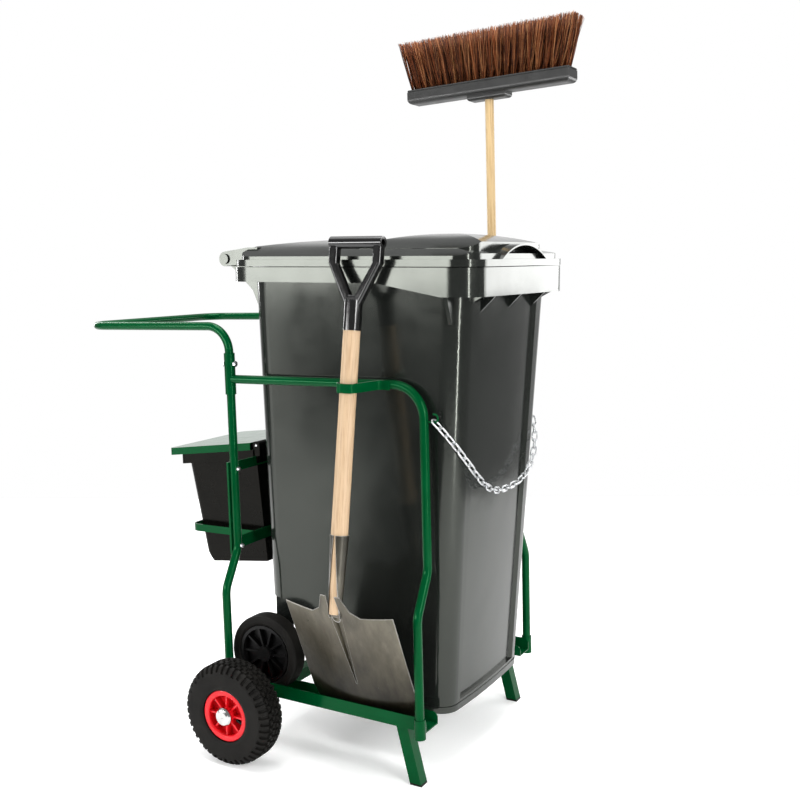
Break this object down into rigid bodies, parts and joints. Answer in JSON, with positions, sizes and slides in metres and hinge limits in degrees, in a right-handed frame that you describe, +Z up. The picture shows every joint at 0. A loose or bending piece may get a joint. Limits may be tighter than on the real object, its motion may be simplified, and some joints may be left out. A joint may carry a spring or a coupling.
{
  "type": "bin cart",
  "caption": "Street sweeper's bin cart: a green tube frame on pneumatic wheels and raked legs carries a lidded wheeled bin, litter box, shovel, broom and chain.",
  "frame": {"origin": "On the floor under the middle of the cart's outer box", "axes": "+X forward to the bin's front and the legs, +Y to the cart's left where the broom stands, +Z up"},
  "size_m": [1.209, 0.904, 1.8887],
  "materials": {
    "axle": "bright zinc",
    "axle_beam": "semi-gloss paint",
    "axle_caps": "polished",
    "axle_spacers": "bright zinc",
    "bin_axle": "bright zinc",
    "bin_body": "satin",
    "bin_hinge_pins": "satin",
    "bin_lid": "satin",
    "broom_block": "satin",
    "broom_bristles": "coarse",
    "broom_stick": "sanded",
    "broom_strap": "semi-gloss paint",
    "chain": "bright zinc",
    "chain_hooks": "semi-gloss paint",
    "front_cross_bar": "semi-gloss paint",
    "holder_bolts": "bright zinc",
    "holder_lower_bar": "semi-gloss paint",
    "holder_strap": "semi-gloss paint",
    "holder_upper_bar": "semi-gloss paint",
    "holder_uprights": "semi-gloss paint",
    "left_bin_hub": "satin",
    "left_bin_tyre": "matt",
    "left_leg": "semi-gloss paint",
    "left_rail": "semi-gloss paint",
    "left_rear_post": "semi-gloss paint",
    "left_side_tube": "semi-gloss paint",
    "left_sleeve": "semi-gloss paint",
    "left_wheel_bush": "bright zinc",
    "left_wheel_rim": "gloss",
    "left_wheel_tyre": "matt",
    "left_wheel_valve": "matt",
    "leg_caps": "matt",
    "litter_box": "satin",
    "litter_hinge_pin": "bright zinc",
    "litter_lid": "semi-gloss paint",
    "post_collars": "semi-gloss paint",
    "push_handle": "semi-gloss paint",
    "right_bin_hub": "satin",
    "right_bin_tyre": "matt",
    "right_leg": "semi-gloss paint",
    "right_rail": "semi-gloss paint",
    "right_rear_post": "semi-gloss paint",
    "right_side_tube": "semi-gloss paint",
    "right_sleeve": "semi-gloss paint",
    "right_wheel_bush": "bright zinc",
    "right_wheel_rim": "gloss",
    "right_wheel_tyre": "matt",
    "right_wheel_valve": "matt",
    "shovel_blade": "lacquered",
    "shovel_grip": "satin",
    "shovel_shaft": "sanded",
    "shovel_strap": "semi-gloss paint",
    "sleeve_bolts": "bright zinc"
  },
  "bodies": {
    "cart": {"right_rail": "right_rail", "left_rail": "left_rail", "post_collars": "post_collars", "right_leg": "right_leg", "left_leg": "left_leg", "leg_caps": "leg_caps", "axle_beam": "axle_beam", "axle": "axle", "axle_spacers": "axle_spacers", "axle_caps": "axle_caps", "front_cross_bar": "front_cross_bar", "right_side_tube": "right_side_tube", "left_side_tube": "left_side_tube", "right_rear_post": "right_rear_post", "left_rear_post": "left_rear_post", "right_sleeve": "right_sleeve", "left_sleeve": "left_sleeve", "push_handle": "push_handle", "sleeve_bolts": "sleeve_bolts", "holder_uprights": "holder_uprights", "holder_upper_bar": "holder_upper_bar", "holder_lower_bar": "holder_lower_bar", "holder_strap": "holder_strap", "holder_bolts": "holder_bolts", "chain_hooks": "chain_hooks", "chain": "chain", "shovel_strap": "shovel_strap", "broom_strap": "broom_strap"},
    "right_wheel": {"right_wheel_tyre": "right_wheel_tyre", "right_wheel_rim": "right_wheel_rim", "right_wheel_bush": "right_wheel_bush", "right_wheel_valve": "right_wheel_valve"},
    "left_wheel": {"left_wheel_tyre": "left_wheel_tyre", "left_wheel_rim": "left_wheel_rim", "left_wheel_bush": "left_wheel_bush", "left_wheel_valve": "left_wheel_valve"},
    "bin": {"bin_body": "bin_body", "bin_hinge_pins": "bin_hinge_pins", "bin_axle": "bin_axle"},
    "bin_lid": {"bin_lid": "bin_lid"},
    "right_bin_wheel": {"right_bin_tyre": "right_bin_tyre", "right_bin_hub": "right_bin_hub"},
    "left_bin_wheel": {"left_bin_tyre": "left_bin_tyre", "left_bin_hub": "left_bin_hub"},
    "litter_box": {"litter_box": "litter_box", "litter_hinge_pin": "litter_hinge_pin"},
    "litter_lid": {"litter_lid": "litter_lid"},
    "shovel": {"shovel_blade": "shovel_blade", "shovel_shaft": "shovel_shaft", "shovel_grip": "shovel_grip"},
    "broom": {"broom_stick": "broom_stick", "broom_block": "broom_block", "broom_bristles": "broom_bristles"}
  },
  "joints": [
    {"name": "right_wheel_spin", "type": "hinge", "parent": "cart", "child": "right_wheel", "pos_m": [-0.0066, -0.403, 0.13], "axis": [0, 1, 0], "continuous": true},
    {"name": "left_wheel_spin", "type": "hinge", "parent": "cart", "child": "left_wheel", "pos_m": [-0.0066, 0.403, 0.13], "axis": [0, 1, 0], "continuous": true},
    {"name": "bin_lift", "type": "slide", "parent": "cart", "child": "bin", "axis": [0, 0, 1], "range_m": [0, 0.045]},
    {"name": "bin_lid_hinge", "type": "hinge", "parent": "bin", "child": "bin_lid", "pos_m": [-0.1546, 0, 1.254], "axis": [0, -1, 0], "range_deg": [0, 190]},
    {"name": "right_bin_wheel_spin", "type": "hinge", "parent": "bin", "child": "right_bin_wheel", "pos_m": [0.0134, -0.28, 0.2483], "axis": [0, 1, 0], "continuous": true},
    {"name": "left_bin_wheel_spin", "type": "hinge", "parent": "bin", "child": "left_bin_wheel", "pos_m": [0.0134, 0.28, 0.2483], "axis": [0, 1, 0], "continuous": true},
    {"name": "litter_box_lift", "type": "slide", "parent": "cart", "child": "litter_box", "axis": [-0.0262, 0, 0.9997], "range_m": [0, 0.12]},
    {"name": "litter_lid_hinge", "type": "hinge", "parent": "litter_box", "child": "litter_lid", "pos_m": [-0.10713, 0, 0.75883], "axis": [0, 1, 0], "range_deg": [0, 100]},
    {"name": "shovel_lift", "type": "slide", "parent": "cart", "child": "shovel", "axis": [0, 0.1314, 0.9913], "range_m": [0, 0.06]},
    {"name": "broom_lift", "type": "slide", "parent": "cart", "child": "broom", "axis": [-0.0462, 0.0383, 0.9982], "range_m": [0, 0.08]}
  ]
}
